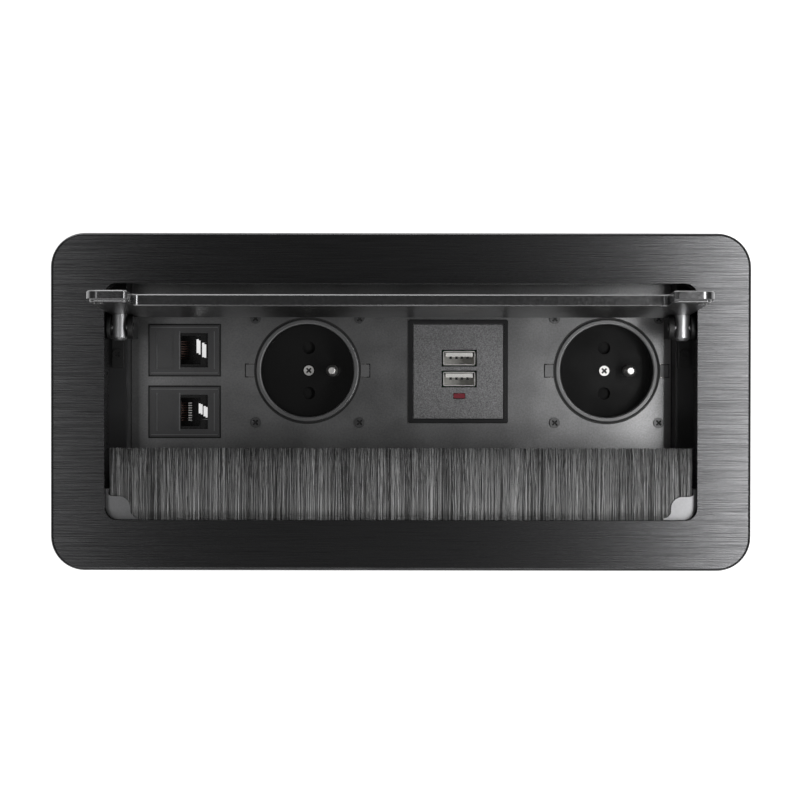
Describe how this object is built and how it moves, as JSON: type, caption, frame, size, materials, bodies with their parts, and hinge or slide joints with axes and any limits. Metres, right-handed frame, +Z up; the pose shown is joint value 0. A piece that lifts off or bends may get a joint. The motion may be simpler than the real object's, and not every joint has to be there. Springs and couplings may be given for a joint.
{
  "type": "recessed flip-lid desk power box",
  "caption": "Recessed desk power box: flip lid, brush cable outlet, earth-pin mains sockets, USB charger and data sockets on a sunken panel, with clamps for a desk cut-out.",
  "frame": {"origin": "bottom centre of the whole box, under the base cover", "axes": "+Z up out of the desk, +Y towards the hinge side, +X to the right of a user facing the hinge"},
  "size_m": [0.278, 0.134, 0.1548],
  "materials": {
    "black_anodised": "fine brushed, black anodised",
    "lid_black": "brushed black anodised, satin",
    "black_steel": "fine black powder coat",
    "panel_black": "fine textured black powder coat",
    "satin_plate": "satin",
    "chrome_post": "polished",
    "zinc": "bright zinc plated",
    "black_screw": "black oxide",
    "bristle": "fine nylon bristle",
    "socket_black": "glossy moulded",
    "case_grey": "moulded",
    "earth_metal": "nickel plated",
    "contact_brass": "bright",
    "bezel_black": "fine textured moulding",
    "jack_black": "moulded",
    "usb_grey": "spark-textured moulding",
    "usb_frame_black": "glossy moulded",
    "nickel": "bright nickel plated",
    "tongue_white": "moulded",
    "indicator_red": "tinted, clear",
    "board_green": "solder mask",
    "rubber_black": "soft",
    "bumper_clear": "soft, translucent",
    "nylon_black": "moulded",
    "wire_cover": "flexible insulation",
    "earth_cover": "flexible insulation"
  },
  "bodies": {
    "housing": {"flange_frame": "black_anodised", "tray": "black_steel", "base_cover": "black_steel", "base_cover_screws": "zinc", "frame_screws": "black_screw", "brush_holder": "black_anodised", "brush_bristles": "bristle", "corner_plate_left": "satin_plate", "corner_plate_right": "satin_plate", "corner_plate_screws": "black_screw", "socket_panel": "panel_black", "panel_screws": "black_screw", "socket_left_cup": "socket_black", "socket_right_cup": "socket_black", "socket_left_rear_case": "case_grey", "socket_right_rear_case": "case_grey", "socket_left_earth_pin": "earth_metal", "socket_right_earth_pin": "earth_metal", "socket_left_contacts": "contact_brass", "socket_right_contacts": "contact_brass", "socket_left_yoke": "zinc", "socket_right_yoke": "zinc", "socket_fixing_screws": "black_screw", "socket_centre_screws": "zinc", "data_upper_bezel": "bezel_black", "data_lower_bezel": "bezel_black", "data_upper_jack": "jack_black", "data_lower_jack": "jack_black", "data_upper_contacts": "contact_brass", "data_lower_contacts": "contact_brass", "usb_frame": "usb_frame_black", "usb_face": "usb_grey", "usb_upper_shell": "nickel", "usb_lower_shell": "nickel", "usb_tongues": "tongue_white", "usb_indicator": "indicator_red", "usb_board": "board_green", "usb_rear_case": "bezel_black", "hinge_bracket_left": "black_steel", "hinge_bracket_right": "black_steel", "hinge_pins": "black_steel", "hinge_washers": "nylon_black", "hinge_screws": "black_screw", "lid_stops": "rubber_black", "clamp_bracket_left": "zinc", "clamp_bracket_right": "zinc", "mains_gland": "rubber_black", "gland_nut": "rubber_black", "terminal_block": "case_grey", "wires_live_neutral": "wire_cover", "wire_earth": "earth_cover", "data_grommet": "rubber_black"},
    "lid": {"lid_panel": "lid_black", "hinge_post_left": "chrome_post", "hinge_post_right": "chrome_post", "lid_bumpers": "bumper_clear"},
    "clamp_screw_left": {"clamp_jack_left": "zinc"},
    "clamp_screw_right": {"clamp_jack_right": "zinc"},
    "shutter_left": {"socket_left_shutter": "socket_black"},
    "shutter_right": {"socket_right_shutter": "socket_black"}
  },
  "joints": [
    {"name": "lid_hinge", "type": "hinge", "parent": "housing", "child": "lid", "pos_m": [0, 0.0298, 0.0787], "axis": [1, 0, 0], "range_deg": [0, 92.5]},
    {"name": "clamp_left_travel", "type": "slide", "parent": "housing", "child": "clamp_screw_left", "axis": [0, 0, 1], "range_m": [0, 0.017]},
    {"name": "clamp_right_travel", "type": "slide", "parent": "housing", "child": "clamp_screw_right", "axis": [0, 0, 1], "range_m": [0, 0.017]},
    {"name": "shutter_left_slide", "type": "slide", "parent": "housing", "child": "shutter_left", "axis": [-1, 0, 0], "range_m": [0, 0.006], "stiffness_N_per_m": 60, "springref_m": -0.003},
    {"name": "shutter_right_slide", "type": "slide", "parent": "housing", "child": "shutter_right", "axis": [-1, 0, 0], "range_m": [0, 0.006], "stiffness_N_per_m": 60, "springref_m": -0.003}
  ]
}
